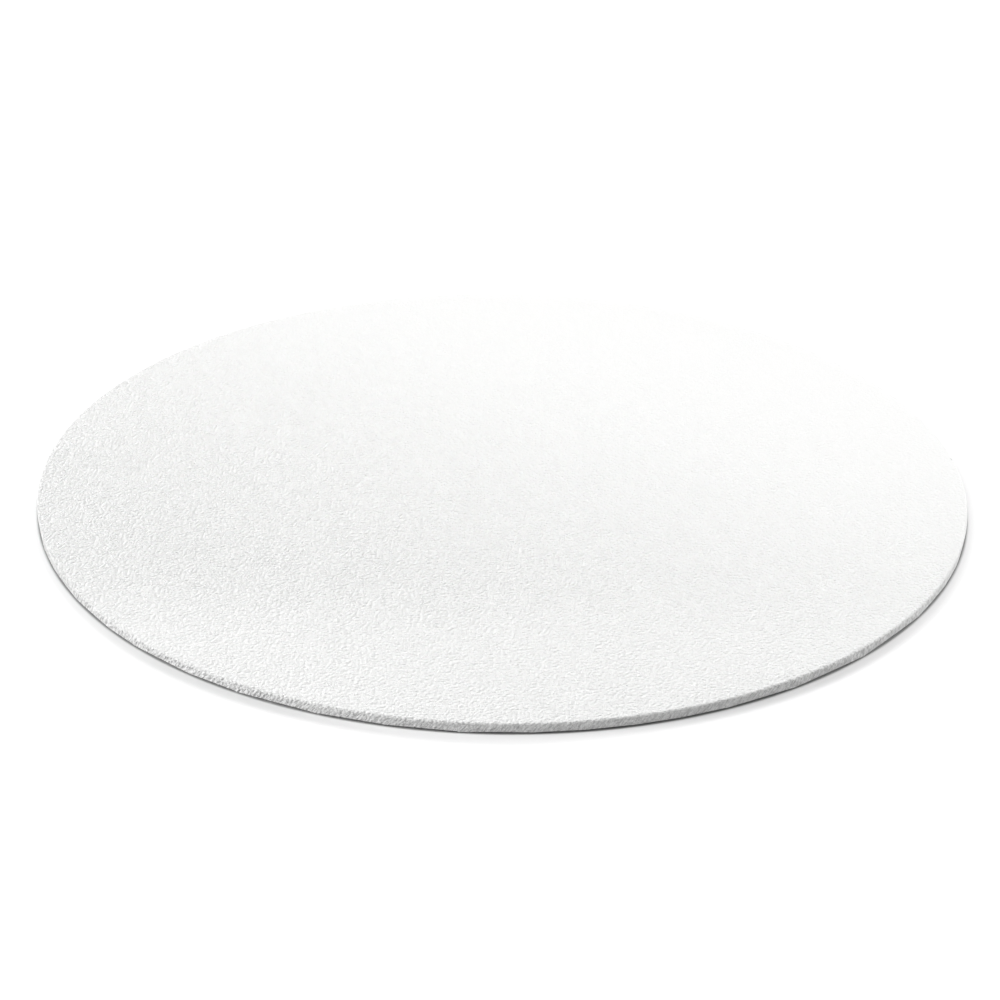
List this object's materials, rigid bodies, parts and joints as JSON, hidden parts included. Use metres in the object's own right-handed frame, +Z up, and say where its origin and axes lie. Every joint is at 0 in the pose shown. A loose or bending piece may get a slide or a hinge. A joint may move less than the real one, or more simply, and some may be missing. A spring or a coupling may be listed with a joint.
{
  "type": "round cake board",
  "caption": "Round, flat cake board wrapped in white embossed paper, with softly folded edges and a pleated turn-in under its rim.",
  "frame": {"origin": "centre of the underside, on the surface the board stands on", "axes": "+Z up through the thickness; X and Y lie in the board, with the pictured side of the rim facing -Y"},
  "size_m": [0.3, 0.3, 0.0035],
  "materials": {
    "wrap_paper": "white paper with a fine irregular pebble emboss and a slight satin sheen"
  },
  "bodies": {
    "root": {"cake_board": "wrap_paper"}
  },
  "joints": []
}
